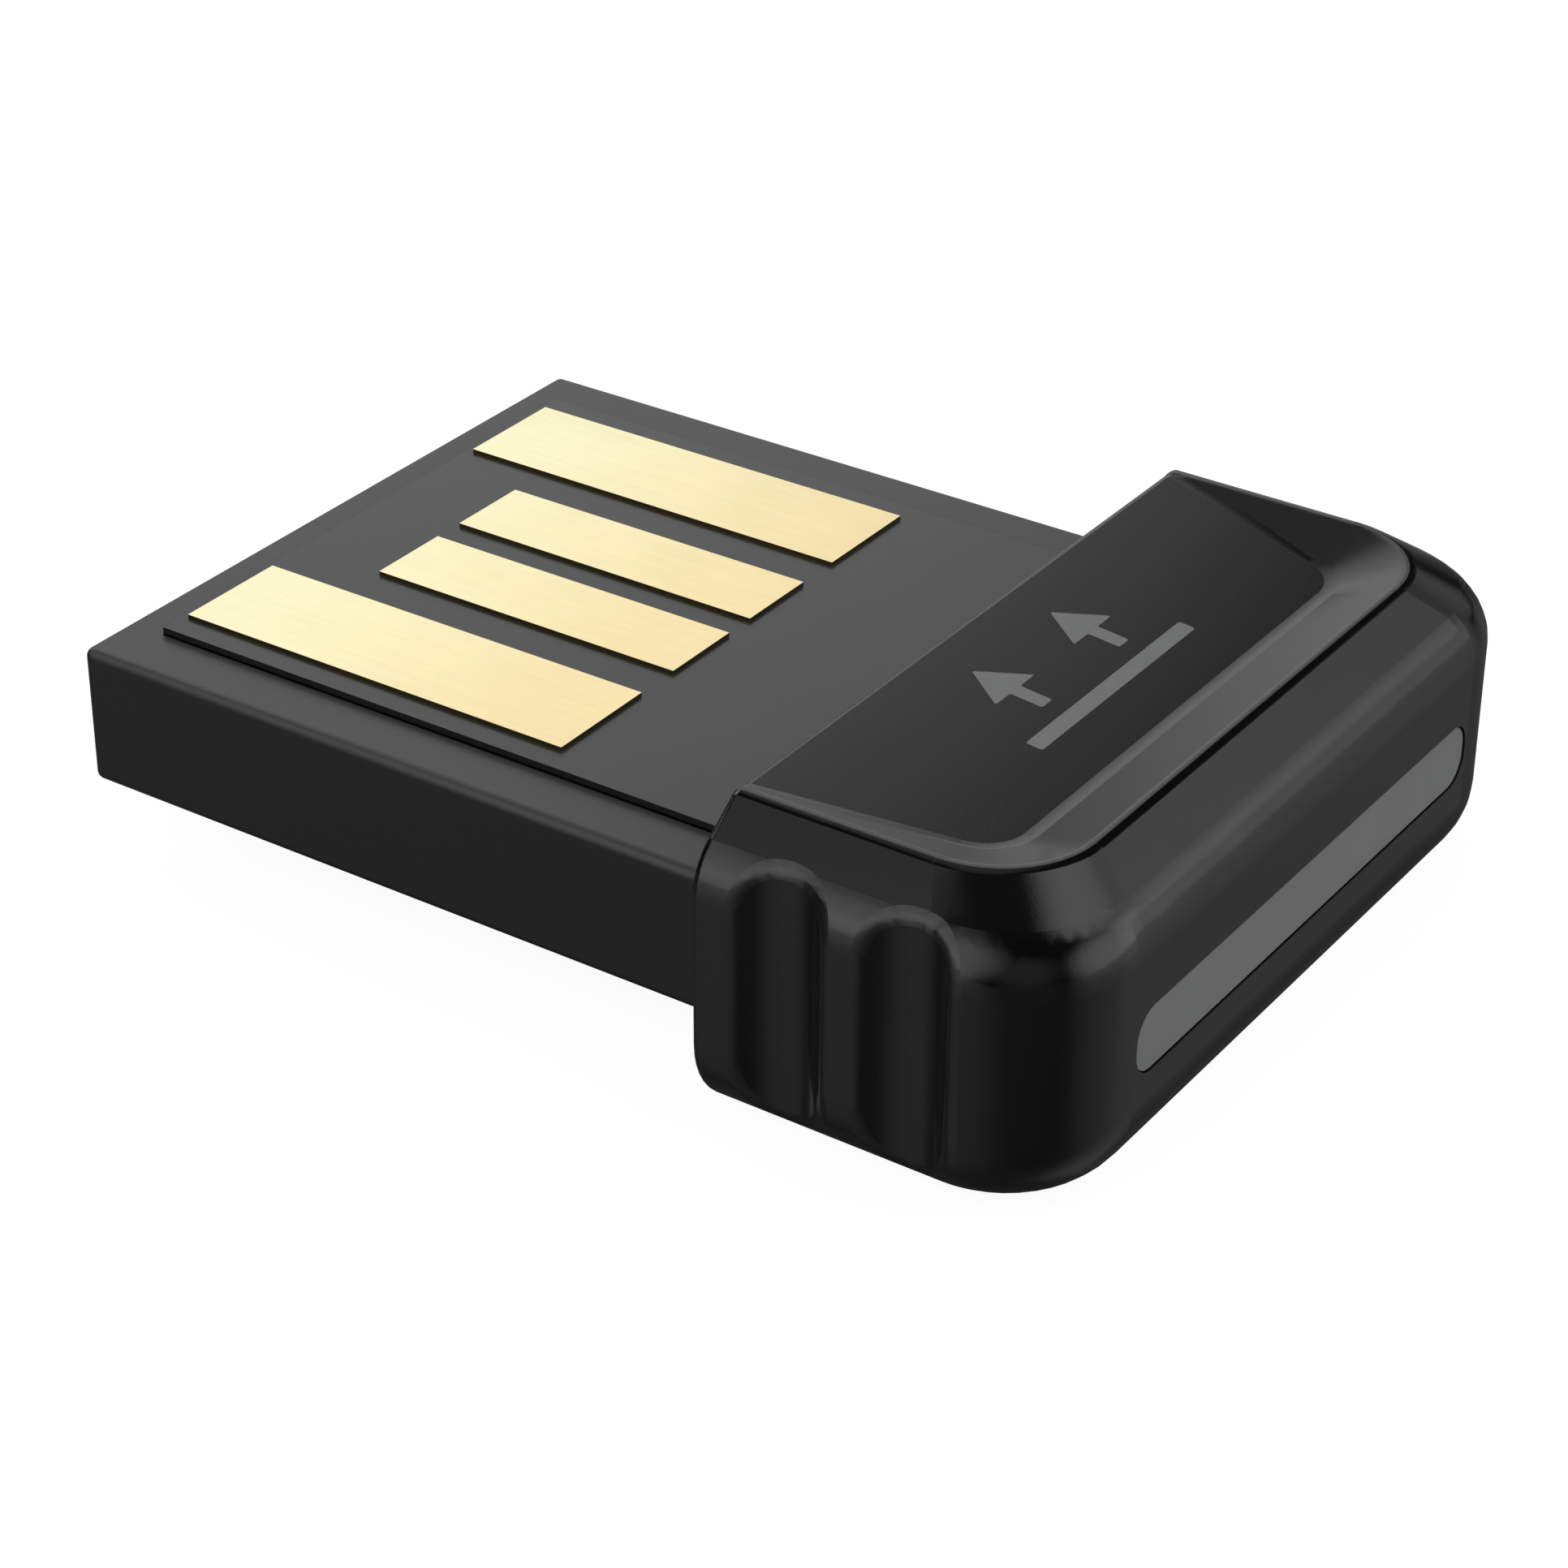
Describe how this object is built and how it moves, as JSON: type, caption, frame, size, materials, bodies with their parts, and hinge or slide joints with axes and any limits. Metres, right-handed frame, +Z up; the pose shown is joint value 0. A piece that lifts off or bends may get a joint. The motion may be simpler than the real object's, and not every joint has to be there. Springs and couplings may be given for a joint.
{
  "type": "usb bluetooth adapter",
  "caption": "Tiny USB radio adapter: flat plug tongue with raised gold contacts, and a short bevelled head with a thumb scoop, side grip flutes and an end light strip.",
  "frame": {"origin": "centre of the footprint, at the height of the head's flat underside", "axes": "+Y along the length towards the plug's tip, +Z up out of the contact side, X across the plug's width"},
  "size_m": [0.0138, 0.0176, 0.0049],
  "materials": {
    "head_shell": "smooth moulded black, soft gloss",
    "plug_plastic": "fine satin moulded dark grey",
    "board_laminate": "dark grey lacquered board",
    "contact_gold": "pale gold plating, satin",
    "light_strip": "milky grey light guide",
    "light_body": "white body with clear lens",
    "chip_package": "matt moulded package",
    "chip_ceramic": "fired ceramic with tinned ends",
    "resistor_ceramic": "glazed ceramic chip with tinned ends",
    "crystal_can": "metal lid on a ceramic tray",
    "choke_ferrite": "moulded ferrite"
  },
  "bodies": {
    "root": {"head_cap": "head_shell", "plug_carrier": "plug_plastic", "circuit_board": "board_laminate", "contact_power": "contact_gold", "contact_data_minus": "contact_gold", "contact_data_plus": "contact_gold", "contact_ground": "contact_gold", "light_guide": "light_strip", "status_led": "light_body", "radio_chip": "chip_package", "timing_crystal": "crystal_can", "supply_regulator": "chip_package", "power_inductor": "choke_ferrite", "chip_antenna": "chip_ceramic", "surge_protector": "chip_package", "input_capacitor": "chip_ceramic", "output_capacitor": "chip_ceramic", "supply_bead": "choke_ferrite", "crystal_capacitor_front": "chip_ceramic", "crystal_capacitor_rear": "chip_ceramic", "chip_capacitor_front": "chip_ceramic", "chip_capacitor_rear": "chip_ceramic", "antenna_capacitor": "chip_ceramic", "antenna_coil": "chip_ceramic", "data_resistor_minus": "resistor_ceramic", "data_resistor_plus": "resistor_ceramic", "light_resistor": "resistor_ceramic", "bias_resistor": "resistor_ceramic"}
  },
  "joints": []
}
